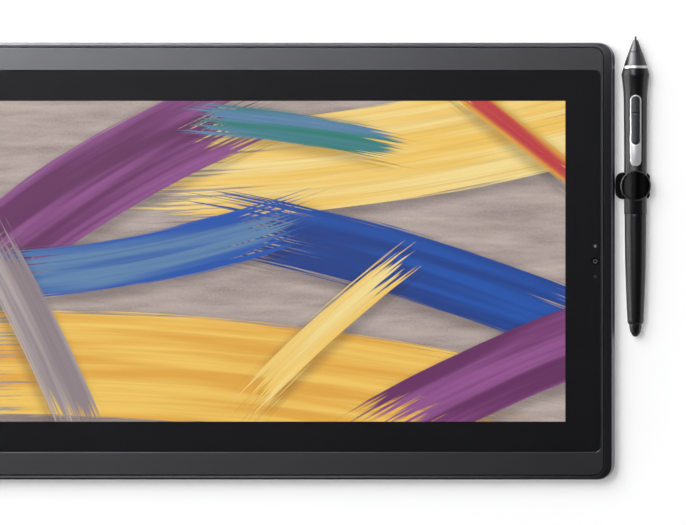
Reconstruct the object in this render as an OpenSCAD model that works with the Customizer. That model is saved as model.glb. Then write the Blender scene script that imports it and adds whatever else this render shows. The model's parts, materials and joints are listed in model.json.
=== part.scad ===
// Pen tablet with a screen, its pen and a plug-in pen holder.
// X runs to the right, Y to the top edge, Z up from the desk, all in millimetres.
// The origin lies on the desk, under the middle of the tablet.

/* [Housing] */
// Clear height between the floor and the middle frame
inner_h = 7.4; // [7.2:0.1:9]
// Corner radius of the outline
corner_r = 8.5; // [7.5:0.5:11]
// Width of the rim along the left and right edges
rim_side_w = 5.8; // [5.2:0.1:6.4]
// Width of the rim along the top and bottom edges
rim_end_w = 2.25; // [2:0.05:3.2]
// How far the rim sits below the front face
rim_drop = 0.4; // [0.2:0.1:0.7]
// Corner radius of the recess that the bezel sits in
recess_r = 5.5; // [4.5:0.25:7]
// Width of the dark seam between the rim and the bezel
seam_gap = 0.5; // [0.3:0.1:0.7]
// How far the underside draws in from the outline
belly_inset = 6; // [4.5:0.5:7]
// Height of the upright band round the sides
side_band_h = 5; // [4.5:0.25:5.5]
// Height of the rounded shoulder above the upright band
shoulder_h = 4.1; // [3.5:0.1:4.5]
// Thickness of the floor of the rear cover
floor_t = 1.4; // [1.2:0.1:1.7]
// Height of the rubber feet below the floor
foot_h = 0.8; // [0.6:0.1:1.1]
// Length of a rubber foot
foot_len = 44; // [36:1:54]
// Width of a rubber foot
foot_w = 7; // [5:0.5:9]

/* [Front] */
// Thickness of the cover glass
glass_t = 1.1; // [0.9:0.1:1.3]
// Thickness of the black adhesive border under the glass
tape_t = 0.3; // [0.2:0.05:0.4]
// Corner radius of the glass
glass_r = 3.4; // [2.5:0.1:4.5]
// Width of the bezel strips along the top and bottom edges
bezel_end_w = 11.8; // [10.5:0.1:12.5]
// Width of the bezel strips along the left and right edges
bezel_side_w = 1.1; // [1:0.1:1.8]
// Width of the lit area of the screen
screen_w = 298.4; // [285:0.2:320]
// Height of the lit area of the screen
screen_h = 167.9; // [160:0.1:180]
// Dark border of the glass to the left of the lit area
border_left_w = 7.7; // [7.4:0.1:12]
// Dark border of the glass to the right of the lit area
border_right_w = 18.6; // [15:0.1:22]
// Dark border of the glass above and below the lit area
border_end_w = 16; // [13:0.25:19]
// Dark margin of the display panel round its lit area
panel_margin = 4.5; // [3.5:0.1:5]
// From the right edge of the glass to the camera
camera_inset = 3; // [2.6:0.1:4]
// From the camera to the lamp above it and the sensor below it
camera_pitch = 8; // [6:0.5:12]

/* [Keys] */
// Width of the panel that holds the keys
key_panel_w = 27.6; // [27:0.2:28.4]
// Width of a key
key_w = 18; // [14:0.5:18.5]
// Depth of a key
key_d = 9.4; // [8:0.2:10]
// From one key to the next
key_pitch = 12.4; // [12.2:0.2:15]
// How far a key goes down
key_travel = 0.6; // [0.3:0.1:0.7]
// How far a key stands above its panel
key_proud = 0.4; // [0.2:0.1:0.8]
// Gap round a key
key_gap = 0.2; // [0.15:0.05:0.3]
// Diameter of the touch ring
ring_d = 20.4; // [18:0.2:20.6]
// Diameter of the button inside the touch ring
home_d = 10.6; // [9:0.2:11]

/* [Edge buttons and ports] */
// Height of the ports and edge buttons above the floor
port_lift = 5.1; // [4.9:0.1:5.2]
// Length of the power button
power_len = 9.6; // [8:0.2:10]
// Length of the volume rocker
volume_len = 13; // [11:0.5:16]
// Height of the edge buttons
edge_key_h = 2.9; // [2.4:0.1:3]
// How far the edge buttons stand out of the wall
edge_key_proud = 0.35; // [0.2:0.05:0.6]
// How far the power button goes in
power_travel = 0.5; // [0.3:0.1:0.6]
// Radius of the headphone plug hole
jack_r = 1.75; // [1.6:0.05:1.8]
// Depth of the headphone plug hole
jack_len = 13; // [12:0.5:14]

/* [Inside] */
// Thickness of the display panel
lcd_t = 1.2; // [1:0.1:1.4]
// Thickness of the backlight
backlight_t = 2; // [1.8:0.1:2.2]
// Thickness of the pen sensor board
digitizer_t = 0.8; // [0.6:0.1:1]
// Thickness of the middle frame
frame_t = 1; // [0.8:0.1:1.1]
// Thickness of the circuit boards
board_t = 1.2; // [0.8:0.1:1.4]
// Thickness of a battery cell
battery_t = 5.6; // [4.5:0.1:6.2]
// Gap between two battery cells
cell_gap = 1.4; // [1:0.2:3]
// Radius of the fan's impeller
rotor_r = 20; // [17:0.5:20.5]
// Blades on the impeller
blade_count = 15; // [9:1:19]

/* [Pen] */
// Radius of the nib
nib_r = 0.55; // [0.45:0.05:0.6]
// How far the nib stands out of the nose
nib_out = 2; // [1.5:0.1:3]
// Length of the nose cone
cone_len = 13.4; // [12:0.2:16]
// Radius of the nose cone at its back edge
cone_r = 6.1; // [5.8:0.1:6.3]
// Length of the bright ring behind the nose
pen_ring_len = 1.4; // [1:0.1:2]
// Radius of the grip at its widest
crest_r = 7.45; // [7:0.05:7.8]
// Radius of the grip where the holder takes it
grip_r = 6; // [5.8:0.05:6.2]
// From the bright ring to the widest place of the grip
crest_at = 3.4; // [2.5:0.1:5]
// From the bright ring to the front end of the switch frame
switch_at = 14; // [12:0.2:18]
// Length of the switch frame
switch_len = 37.4; // [34:0.2:40]
// Width of the switch frame
switch_w = 5.9; // [5.6:0.1:6.2]
// Length of the rocker in the switch frame
rocker_len = 25; // [22:0.5:27]
// Width of the rocker
rocker_w = 4.1; // [3.8:0.1:4.2]
// Straight part of the grip behind the switch frame
grip_straight = 25; // [22:0.5:32]
// Radius of the rear barrel at its front end
barrel_front_r = 5.75; // [5.4:0.05:5.75]
// Radius of the rear barrel at its back end
barrel_rear_r = 4.25; // [4.1:0.05:4.6]
// Length of the rear barrel
barrel_len = 56.5; // [50:0.5:62]
// Radius of the eraser
eraser_r = 3.25; // [2.9:0.05:3.3]
// How far the eraser stands out of the barrel
eraser_out = 6.6; // [5:0.1:7]
// How far the eraser goes in
eraser_travel = 0.8; // [0.5:0.1:1]

/* [Pen holder] */
// From the top edge of the tablet to the middle of the holder
holder_from_top = 75; // [65:1:90]
// From the right edge of the tablet to the middle of the pen
pen_offset = 10.85; // [10.4:0.05:13]
// Clear height of the widest part of the pen above the desk
pen_lift = 0.75; // [0.5:0.05:1]
// Wall thickness of the jaws
jaw_t = 1.65; // [1.3:0.05:1.7]
// Radius of the round front jaw
jaw_r = 8; // [7.8:0.1:8.8]
// Corner radius of the rear jaw
rear_jaw_round = 3; // [2:0.25:4]
// Radius of the boss against the tablet
boss_r = 7.1; // [6:0.1:7.4]
// Radius of the peg that plugs into the tablet
peg_r = 2.4; // [2:0.1:2.6]
// How deep the peg goes into the tablet
peg_depth = 4.6; // [4:0.1:4.8]

/* [Hidden] */
$fn = 48;

// Colours
shell_grey = [0.13, 0.13, 0.14];
bezel_grey = [0.27, 0.27, 0.29];
glass_black = [0.10, 0.10, 0.12];
soft_black = [0.07, 0.07, 0.08];
board_green = [0.10, 0.28, 0.18];
bare_metal = [0.72, 0.73, 0.75];
copper = [0.75, 0.45, 0.25];

// Clearances
cut = 1;              // how far a cutter runs past a face
fit = 0.1;            // between a piece and the seat that it is pressed or laid into
slide_fit = 0.08;     // between the pen and the holder
pin_fit = 0.05;       // between a pin and the hole that it turns in
stop_gap = 0.1;       // left between a pressed button and its switch
loft_steps = 8;       // steps round one corner of a lofted ring

// Outline of the tablet, from the lit area outwards
glass_w = border_left_w + screen_w + border_right_w;
pocket_x = (key_panel_w + glass_w) / 2;
pocket_y = screen_h / 2 + border_end_w;
bezel_x = pocket_x + bezel_side_w;
bezel_y = pocket_y + bezel_end_w;
bezel_r = recess_r - seam_gap;
recess_x = bezel_x + seam_gap;
recess_y = bezel_y + seam_gap;
half_w = recess_x + rim_side_w;
half_d = recess_y + rim_end_w;
ledge_w = 1.2;
cavity_x = bezel_x - ledge_w;
cavity_y = bezel_y - ledge_w;
cavity_r = bezel_r - ledge_w;
floor_x = cavity_x - belly_inset;
floor_y = cavity_y - belly_inset;

// Heights above the desk, from the feet upwards
base_z = foot_h;
floor_z = base_z + floor_t;
frame_z = floor_z + inner_h;
frame_top_z = frame_z + frame_t;
backlight_z = frame_top_z + digitizer_t;
lcd_z = backlight_z + backlight_t;
seat_z = lcd_z + lcd_t;
front_z = seat_z + tape_t + glass_t;
rim_z = front_z - rim_drop;
band_top_z = rim_z - shoulder_h;
band_low_z = band_top_z - side_band_h;
ledge_t = 1.6;
ledge_z = seat_z - ledge_t;

// How far the inside of the wall stands in from the cavity at height z
function wall_inset(z) =
    z >= band_low_z ? 0 :
    belly_inset * (1 - sin(acos(1 - (z - floor_z) / (band_low_z - floor_z))));
function inner_x(z) = cavity_x - wall_inset(z) - fit;

// Screen and the openings round it
glass_x0 = -pocket_x + key_panel_w;
screen_x0 = glass_x0 + border_left_w;
screen_x1 = screen_x0 + screen_w;
panel_x0 = screen_x0 - panel_margin;
panel_x1 = screen_x1 + panel_margin;
panel_y = screen_h / 2 + panel_margin;
panel_gap = 0.5;
camera_x = pocket_x - camera_inset;
camera_hole_r = 2.2;
lens_r = 1.6;
lamp_r = 0.8;

// Key panel
keys_per_side = 3;
panel_seat = 2.4;
key_x = -pocket_x + key_panel_w / 2;
key_open_w = key_panel_w - 2 * panel_seat;
key_flange = 1;
key_flange_t = 0.8;
key_board_t = 0.8;
dome_h = 0.6;
key_board_top_z = frame_top_z + key_board_t;
stub_z = key_board_top_z + dome_h + key_travel + stop_gap;
ring_r = ring_d / 2;
home_r = home_d / 2;
ring_flange = 0.9;
ring_flange_t = 1;
key_ring_gap = 1.7;
first_key_y = ring_r + ring_flange + key_ring_gap + key_flange + key_d / 2;
key_ys = [for (side = [1, -1], i = [0 : keys_per_side - 1]) side * (first_key_y + i * key_pitch)];
key_end_gap = 1;
key_open_y = first_key_y + (keys_per_side - 1) * key_pitch + key_d / 2 + key_flange + key_end_gap;

// Edge buttons: both sit beyond the left end of the screen
edge_key_gap = 0.2;
power_from_side = 24;
edge_key_apart = 3;
power_x = -half_w + power_from_side;
volume_x = power_x + power_len / 2 + volume_len / 2 + edge_key_apart;
edge_flange_t = 0.9;
edge_flange_y = cavity_y - 0.3;
rocker_end_gap = 0.35;
rocker_tilt = 2;
volume_pivot_y = cavity_y - 1.6;
volume_pin_r = 0.8;
bracket_y = floor_y - 1.1;
bracket_t = 1;
bracket_top_z = frame_z - 0.2;

// Ports along the left edge, counted from its ends, and the sleeve for a lock on the right edge
holder_y = half_d - holder_from_top;
jack_from_bottom = 42.5;
lock_from_bottom = 29.5;
card_from_top = 50.5;
port_z = floor_z + port_lift;
port_face_x = -half_w + 0.2;
usb_w = 8.94;
usb_h = 3.2;
usb_wall = 0.3;
usb_depth = 7.2;
usb_pitch = 16;
usb_from_jack = 20;
jack_y = -half_d + jack_from_bottom;
usb_ys = [for (i = [2 : -1 : 0]) jack_y + usb_from_jack + i * usb_pitch];
jack_z = port_z - 0.4;
jack_nose_r = jack_r + 0.65;
jack_half_h = 2.2;
jack_half_w = 3.2;
jack_back_wall = 3;
jack_back_x = port_face_x + jack_len + jack_back_wall;
card_y = half_d - card_from_top;
card_w = 24.4;
card_h = 2.3;
card_wall = 0.6;
card_len = 27;
lock_y = -half_d + lock_from_bottom;
lock_z = port_z - 0.3;
lock_w = 7;
lock_h = 3;
lock_wall = 0.6;
port_board_z = port_z - usb_h / 2 - board_t;
port_board_w = 17.8;
port_board_margin = 8;
port_board_y0 = jack_y - port_board_margin;
port_board_y1 = card_y + card_w / 2 + port_board_margin;

// Cooling, near the right end of the top edge
grille_flange = 1.5;
grille_flange_t = 0.6;
fan_gap = 2;
fan_wall = 1.2;
fan_out_r = rotor_r + fan_gap + fan_wall;
fan_neck = 3;
fan_plate_t = 0.8;
fin_d = 10;
fin_gap = 0.3;
fin_wall_gap = 1.5;
fin_y = floor_y - fin_wall_gap - fin_d;
fan_x = 0.5417 * floor_x;
fan_y = fin_y - fin_gap - fan_neck - fan_out_r;
fan_z = floor_z + grille_flange_t;
fan_top_z = frame_z - 0.4;
axle_r = 1;
axle_top_z = fan_top_z - fan_plate_t - 1.4;
intake_w = 40;
intake_d = 36;
intake_r = 2;
exhaust_w = 44;
exhaust_z0 = floor_z + 1.2;
exhaust_z1 = frame_z - 1.4;

// Main board, to the left of the fan
board_w = 0.717 * floor_x;
board_d = 0.884 * floor_y;
board_gap = 8;
board_x1 = fan_x - fan_out_r - board_gap;
board_x0 = board_x1 - board_w;
board_end_gap = 4;
board_y1 = floor_y - board_end_gap;
board_y0 = board_y1 - board_d;
board_z = floor_z + 1.6;
board_top_z = board_z + board_t;
standoff_r = 2.4;
cpu_at = [board_x0 + 0.55 * board_w, board_y0 + 0.587 * board_d];
cpu_w = 0.213 * board_w;
cpu_d = 0.217 * board_d;
cpu_t = 1;
cold_t = 1.2;
cold_margin = 2.5;
pipe_w = 8;
pipe_t = 1.8;
pipe_z = board_top_z + cpu_t + cold_t;
pipe_bend = 10;
pipe_y = fin_y + fin_d / 2;
ssd_at = [board_x0 + 8, board_y0 + 12];
ssd_w = 80;
ssd_d = 22;
ssd_lift = 1.2;

// Speakers in the lower corners, battery cells between them
speaker_w = 36;
speaker_d = 20;
speaker_t = 5;
speaker_at = [0.812 * floor_x, -floor_y + speaker_d / 2 + 5];
speaker_open_w = 24;
speaker_open_d = 4;
cell_mid_gap = 8;
cell_side_gap = 10;
cell_end_gap = 4;
cell_board_gap = 14;
cell_w = (speaker_at[0] - speaker_w / 2 - cell_side_gap - cell_mid_gap / 2 - cell_gap) / 2;
cell_y0 = -floor_y + cell_end_gap;
cell_y1 = board_y0 - cell_board_gap;
cell_xs = [for (s = [-1, 1], i = [0, 1]) s * (cell_mid_gap / 2 + cell_w / 2 + i * (cell_w + cell_gap))];
rear_cam_at = [-0.824 * floor_x, 0.856 * floor_y];
rear_cam_r = 4.1;

// Case screws
screw_head_r = 2;
screw_head_h = 1.1;
screw_r = 0.95;
screw_len = 5.5;
screw_boss_r = 3.2;
screw_boss_h = 1.4;
screw_post_r = 2.8;
screw_sink = 1.2;
screw_side_gap = 5;
screw_end_gap = 16;
screw_points = [
    for (sx = [-1, 1], sy = [-1, 1]) [sx * (floor_x - screw_side_gap), sy * (floor_y - screw_end_gap)],
    for (sx = [-1, 1]) [0.824 * sx * floor_x, (cell_y1 + board_y0) / 2],
    [0, (cell_y0 + cell_y1) / 2],
    [board_x0 - board_gap, board_y1 - screw_post_r]
];
foot_points = [for (sx = [-1, 1], sy = [-1, 1]) [0.577 * sx * floor_x, 0.875 * sy * floor_y]];
foot_sink = 0.6;

// Pen: s is the distance back from the tip of the nib
cone_s = nib_out;
ring_s = cone_s + cone_len;
grip_s = ring_s + pen_ring_len;
crest_s = grip_s + crest_at;
switch_s = grip_s + switch_at;
switch_end_s = switch_s + switch_len;
waist_s = switch_s + 3;
waist_r = grip_r + 0.25;
straight_s = switch_s + rocker_len + 4;
seam_s = switch_end_s + grip_straight;
barrel_end_s = seam_s + barrel_len;
collar_len = 1.2;
collar_wall = 0.25;
pen_len = barrel_end_s + collar_len + eraser_out;
core_r = 4.45;
grip_bore_r = core_r + pin_fit;
tail_core_r = 2.9;
nose_core_r = 2.6;
nose_core_s = ring_s - 5;
nib_bore_r = nib_r + 0.15;
nib_end_s = nib_out + 20;
nib_travel = 0.4;
eraser_seat_s = barrel_end_s - 10;
eraser_shown = 0.6;
eraser_dome = eraser_out - eraser_shown;
rim_of_switch = 0.9;
rocker_gap = 0.2;
rocker_s = switch_s + rim_of_switch;
rocker_mid_s = rocker_s + rocker_len / 2;
rocker_pin_r = 0.6;
rocker_pin_y = 3.3;
switch_proud = 0.15;
rocker_proud = 0.35;

// Holder and the place of the pen in it
pen_x = half_w + pen_offset;
pen_z = crest_r + pen_lift;
clip_bore_r = grip_r + slide_fit;
clip_out_r = clip_bore_r + jaw_t;
jaw_apart = 2.2;
clip_s = switch_end_s + jaw_apart + jaw_r;
pen_tip_y = holder_y + clip_s;
boss_gap = 0.2;
boss_x0 = half_w + boss_gap;
boss_top_h = 3;
boss_low_h = 4;
boss_round = 4;
jaw_slit = 3;
petal_drop = 0.44 * clip_out_r;
petal_sink = 0.3;
spine_top_h = 0.54 * clip_out_r;
spine_half_d = 0.8 * boss_r;
socket_wall = 0.9;
socket_x0 = half_w - peg_depth - 0.2;
socket_x1 = half_w - 0.15;
peg_in_boss = 3;

// General shapes

// One closed ring of points: a rectangle with round corners, at height z
function corner_ring(hx, hy, r, z) = [
    for (q = [0 : 3], i = [0 : loft_steps])
        let (
            a = 90 * (q + i / loft_steps),
            cx = (q == 0 || q == 3 ? 1 : -1) * (hx - r),
            cy = (q < 2 ? 1 : -1) * (hy - r)
        )
        [cx + r * cos(a), cy + r * sin(a), z]
];

// A solid through a stack of rings that all have the same number of points
module loft(rings) {
    n = len(rings[0]);
    last = len(rings) - 1;
    sides = [
        for (k = [0 : last - 1], i = [0 : n - 1])
            let (j = (i + 1) % n, low = k * n, high = low + n)
            each [[low + i, high + i, high + j], [low + i, high + j, low + j]]
    ];
    bottom = [[for (i = [0 : n - 1]) i]];
    top = [[for (i = [n - 1 : -1 : 0]) last * n + i]];
    polyhedron([for (ring = rings) each ring], concat(bottom, sides, top));
}

module rounded_rect(w, d, r) {
    square([w - 2 * r, d], center = true);
    square([w, d - 2 * r], center = true);
    for (sx = [-1, 1], sy = [-1, 1])
        translate([sx * (w / 2 - r), sy * (d / 2 - r)]) circle(r);
}

module stadium(len, w) {
    square([len - w, w], center = true);
    for (s = [-1, 1])
        translate([s * (len - w) / 2, 0]) circle(w / 2);
}

module rounded_block(hx, hy, r, z0, z1) {
    translate([0, 0, z0]) linear_extrude(z1 - z0) rounded_rect(2 * hx, 2 * hy, r);
}

module box(x0, x1, y0, y1, z0, z1) {
    translate([x0, y0, z0]) cube([x1 - x0, y1 - y0, z1 - z0]);
}

module peg_at(p, r, z0, z1) {
    translate([p[0], p[1], z0]) cylinder(r = r, h = z1 - z0);
}

// A flat outline pushed along X, seen from the right: its first axis is Y, its second Z
module along_x(x0, x1, y, z) {
    translate([x0, y, z]) rotate([90, 0, 90]) linear_extrude(x1 - x0) children();
}

// A flat outline pushed along Y, seen from behind: its first axis is X, its second Z
module along_y(y0, y1, x, z) {
    translate([x, y1, z]) rotate([90, 0, 0]) linear_extrude(y1 - y0) children();
}

// Housing

// The share of the draw-in that is left at each step from the floor up to the upright band
belly_steps = 6;
function belly_rings(hx, hy, r, z0, z1) = [
    for (i = [0 : belly_steps])
        let (t = 90 * i / belly_steps, inset = belly_inset * (1 - sin(t)))
        corner_ring(hx - inset, hy - inset, r, z0 + (z1 - z0) * (1 - cos(t)))
];

// The edge above the upright band, from below upwards: a steep facet, wide at the sides and narrow at the
// ends, a tight round, and the crowned rim, which falls away gently from a flat land along the seam.
// Each step is [share of the side rim, share of the end rim, share of the shoulder's height below the rim]
shoulder_profile = [
    [0, 0, 1], [0.02, 0.03, 0.76], [0.25, 0.09, 0.16], [0.29, 0.12, 0.11], [0.35, 0.18, 0.075],
    [0.9, 0.53, 0.005]
];
rim_land = 0.35;
function shoulder_rings() = concat(
    [
        for (step = shoulder_profile)
            let (in_x = step[0] * rim_side_w, in_y = step[1] * rim_end_w, r = corner_r - (in_x + in_y) / 2)
            corner_ring(half_w - in_x, half_d - in_y, r, rim_z - step[2] * shoulder_h)
    ],
    [corner_ring(recess_x + rim_land, recess_y + rim_land, recess_r + rim_land, rim_z)]
);

module cover_shell() {
    difference() {
        loft(concat(belly_rings(half_w, half_d, corner_r, base_z, band_low_z), shoulder_rings()));
        loft(concat(
            belly_rings(cavity_x, cavity_y, cavity_r + belly_inset, floor_z, band_low_z),
            [corner_ring(cavity_x, cavity_y, cavity_r + belly_inset, frame_z + frame_t / 2)]
        ));
        rounded_block(recess_x, recess_y, recess_r, frame_z, front_z + cut);
    }
}

module cover_openings() {
    for (p = screw_points) {
        peg_at(p, screw_head_r + fit, base_z - cut, base_z + screw_sink);
        peg_at(p, screw_r + fit, base_z, floor_z + screw_boss_h + cut);
    }
    for (p = foot_points)
        translate([p[0], p[1], base_z - cut])
            linear_extrude(cut + foot_sink) stadium(foot_len + 2 * fit, foot_w + 2 * fit);
    translate([fan_x, fan_y, base_z - cut])
        linear_extrude(floor_t + 2 * cut) rounded_rect(intake_w, intake_d, intake_r);
    for (s = [-1, 1])
        translate([s * speaker_at[0], speaker_at[1], base_z - cut])
            linear_extrude(floor_t + 2 * cut) stadium(speaker_open_w, speaker_open_d);
    peg_at(rear_cam_at, rear_cam_r + fit, base_z - cut, floor_z + cut);
    box(fan_x - exhaust_w / 2, fan_x + exhaust_w / 2, cavity_y - belly_inset, half_d + cut,
        exhaust_z0, exhaust_z1);
    along_y(cavity_y - cut, half_d + cut, power_x, port_z)
        stadium(power_len + 2 * edge_key_gap, edge_key_h + 2 * edge_key_gap);
    along_y(cavity_y - cut, half_d + cut, volume_x, port_z)
        stadium(volume_len + 2 * rocker_end_gap, edge_key_h + 2 * edge_key_gap);
    for (y = usb_ys)
        along_x(-half_w - cut, -cavity_x + cut, y, port_z)
            stadium(usb_w + 2 * fit, usb_h + 2 * fit);
    along_x(-half_w - cut, -cavity_x + cut, jack_y, jack_z) circle(jack_nose_r + fit);
    along_x(-half_w - cut, -cavity_x + cut, card_y, port_z)
        square([card_w, card_h], center = true);
    along_x(cavity_x - cut, half_w + cut, lock_y, lock_z)
        square([lock_w + 2 * (lock_wall + fit), lock_h + 2 * (lock_wall + fit)], center = true);
    along_x(socket_x0, half_w + cut, holder_y, pen_z) circle(peg_r + socket_wall + fit);
    along_x(-half_w - cut, -socket_x0, holder_y, pen_z) circle(peg_r + socket_wall + fit);
}

post_in = 5;
board_posts = [
    for (x = [board_x0 + post_in, board_x1 - post_in],
         y = [board_y0 + post_in, (board_y0 + board_y1) / 2, board_y1 - post_in])
        [x, y]
];
port_posts = [
    for (y = [jack_y + usb_from_jack / 2, usb_ys[0] - usb_pitch / 2, holder_y, port_board_y1 - post_in])
        [-cavity_x + port_board_w - post_in + 1, y]
];

module rear_cover() color(shell_grey) {
    difference() {
        union() {
            cover_shell();
            for (p = screw_points) peg_at(p, screw_boss_r, floor_z - floor_t / 2, floor_z + screw_boss_h);
            for (p = board_posts) peg_at(p, standoff_r, floor_z - floor_t / 2, board_z);
            for (p = port_posts) peg_at(p, standoff_r, floor_z - floor_t / 2, port_board_z);
        }
        cover_openings();
    }
}

window_margin = 6;
module mid_frame() color(bare_metal) {
    difference() {
        union() {
            rounded_block(bezel_x, bezel_y, bezel_r, frame_z, frame_top_z);
            for (p = screw_points)
                peg_at(p, screw_post_r, floor_z + screw_boss_h, frame_top_z - frame_t / 2);
        }
        for (p = screw_points)
            peg_at(p, screw_r + pin_fit, floor_z, frame_z);
        for (x = cell_xs)
            translate([x, (cell_y0 + cell_y1) / 2, frame_z - cut])
                linear_extrude(frame_t + 2 * cut)
                    rounded_rect(cell_w - 2 * window_margin, cell_y1 - cell_y0 - 2 * window_margin, 4);
    }
}

module front_bezel() color(bezel_grey) {
    difference() {
        rounded_block(bezel_x, bezel_y, bezel_r, frame_top_z, front_z);
        rounded_block(pocket_x, pocket_y, glass_r, seat_z, front_z + cut);
        rounded_block(cavity_x, cavity_y, cavity_r, frame_top_z - cut, ledge_z);
        box(panel_x0 - panel_gap, panel_x1 + panel_gap, -panel_y - panel_gap, panel_y + panel_gap,
            frame_top_z, seat_z + cut);
        translate([key_x, 0, frame_top_z])
            linear_extrude(seat_z - frame_top_z + cut)
                rounded_rect(key_open_w, 2 * key_open_y, 2);
        peg_at([camera_x, 0], camera_hole_r, frame_top_z, seat_z + cut);
        for (s = [-1, 1])
            peg_at([camera_x, s * camera_pitch], lamp_r + pin_fit, frame_top_z, seat_z + cut);
    }
}

// The outline shared by the glass and the key panel, less a fit all round
module front_field(z0, z1, gap) {
    rounded_block(pocket_x - gap, pocket_y - gap, glass_r - gap, z0, z1);
}

module key_panel() color(glass_black) {
    difference() {
        intersection() {
            front_field(seat_z, front_z, fit);
            box(-half_w, glass_x0 - fit, -half_d, half_d, 0, front_z + cut);
        }
        for (y = key_ys)
            translate([key_x, y, seat_z - cut]) linear_extrude(glass_t + tape_t + 2 * cut)
                rounded_rect(key_w + 2 * key_gap, key_d + 2 * key_gap, key_r + key_gap);
        peg_at([key_x, 0], ring_r + fit, seat_z - cut, front_z + cut);
    }
}

module cover_glass() color(glass_black) {
    intersection() {
        front_field(seat_z + tape_t, front_z, fit);
        box(glass_x0 + fit, half_w, -half_d, half_d, 0, front_z + cut);
    }
}

module glass_border() color(soft_black) {
    difference() {
        intersection() {
            front_field(seat_z, seat_z + tape_t, 2 * fit);
            box(glass_x0 + 2 * fit, half_w, -half_d, half_d, 0, front_z);
        }
        box(screen_x0, screen_x1, -screen_h / 2, screen_h / 2, seat_z - cut, front_z);
        peg_at([camera_x, 0], camera_hole_r - 2 * fit, seat_z - cut, front_z);
        for (s = [-1, 1]) peg_at([camera_x, s * camera_pitch], lamp_r, seat_z - cut, front_z);
    }
}

// Display stack

module lcd_panel() color([0.35, 0.45, 0.65])
    box(panel_x0, panel_x1, -panel_y, panel_y, lcd_z, seat_z);

backlight_step = 1.5;
module backlight_unit() color([0.85, 0.85, 0.82]) {
    box(panel_x0, panel_x1, -panel_y, panel_y, backlight_z + backlight_t / 2, lcd_z);
    box(panel_x0 + backlight_step, panel_x1 - backlight_step, -panel_y + backlight_step,
        panel_y - backlight_step, backlight_z, backlight_z + backlight_t / 2);
}

module digitizer_board() color(board_green) {
    difference() {
        box(panel_x0, panel_x1, -panel_y, panel_y, frame_top_z, backlight_z);
        for (x = [panel_x0, panel_x1], y = [-panel_y, panel_y])
            peg_at([x, y], 4, frame_top_z - cut, backlight_z + cut);
    }
}

// Keys

dish_r = 60;
dish_depth = 0.25;
key_r = 2;
stub_r = 1.6;
module express_key(i) color(soft_black) {
    y = key_ys[i];
    flange_z = seat_z - key_gap - key_flange_t;
    top_z = front_z + key_proud;
    difference() {
        union() {
            translate([key_x, y, flange_z]) linear_extrude(top_z - flange_z)
                rounded_rect(key_w, key_d, key_r);
            translate([key_x, y, flange_z]) linear_extrude(key_flange_t)
                rounded_rect(key_w + 2 * key_flange, key_d + 2 * key_flange, key_r);
            peg_at([key_x, y], stub_r, stub_z, flange_z + key_flange_t / 2);
        }
        along_y(y - key_d, y + key_d, key_x, top_z + dish_r - dish_depth) circle(dish_r, $fn = 96);
    }
}

module express_key_1() express_key(0);
module express_key_2() express_key(1);
module express_key_3() express_key(2);
module express_key_4() express_key(3);
module express_key_5() express_key(4);
module express_key_6() express_key(5);

ring_dish_r = 5;
ring_dish_depth = 0.5;
module touch_ring() color(soft_black) {
    flange_z = seat_z - ring_flange_t;
    difference() {
        union() {
            peg_at([key_x, 0], ring_r, flange_z, front_z);
            peg_at([key_x, 0], ring_r + ring_flange, flange_z, seat_z);
        }
        peg_at([key_x, 0], home_r + key_gap, flange_z - cut, front_z + cut);
        translate([key_x, 0, front_z + ring_dish_r - ring_dish_depth])
            rotate_extrude() translate([(ring_r + home_r) / 2, 0]) circle(ring_dish_r);
    }
}

home_flange_t = 0.6;
home_dish_r = 30;
home_dish_depth = 0.2;
module home_button() color(soft_black) {
    flange_z = seat_z - ring_flange_t - key_gap - home_flange_t;
    top_z = front_z - 0.1;
    difference() {
        union() {
            peg_at([key_x, 0], home_r, flange_z, top_z);
            peg_at([key_x, 0], home_r + key_flange, flange_z, flange_z + home_flange_t);
            peg_at([key_x, 0], stub_r, min(stub_z, flange_z), flange_z + home_flange_t / 2);
        }
        translate([key_x, 0, top_z + home_dish_r - home_dish_depth]) sphere(home_dish_r, $fn = 96);
    }
}

module key_board() color(board_green) {
    half_board_w = key_open_w / 2 - 1;
    half_board_d = key_open_y - 1;
    box(key_x - half_board_w, key_x + half_board_w, -half_board_d, half_board_d,
        frame_top_z, key_board_top_z);
    for (y = concat(key_ys, [0]))
        translate([key_x, y, key_board_top_z - key_board_t / 2])
            cylinder(r1 = 2.8, r2 = 2.2, h = dome_h + key_board_t / 2);
}

// Edge buttons

module power_button() color(soft_black) {
    back_y = edge_flange_y - edge_flange_t;
    along_y(back_y, half_d + edge_key_proud, power_x, port_z) stadium(power_len, edge_key_h);
    along_y(back_y, edge_flange_y, power_x, port_z) stadium(power_len + 2, edge_key_h + 0.7);
}

module volume_rocker() color(soft_black) {
    difference() {
        union() {
            along_y(volume_pivot_y - 0.5, half_d + edge_key_proud, volume_x, port_z)
                stadium(volume_len, edge_key_h);
            translate([volume_x, volume_pivot_y, port_z])
                cylinder(r = 1.5, h = edge_key_h, center = true);
        }
        translate([volume_x, volume_pivot_y, port_z])
            cylinder(r = volume_pin_r + pin_fit, h = edge_key_h + 2 * cut, center = true);
        for (s = [-1, 1])
            translate([volume_x + s * volume_len * 0.28, half_d + edge_key_proud + 0.1, port_z])
                sphere(0.7);
    }
}

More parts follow.
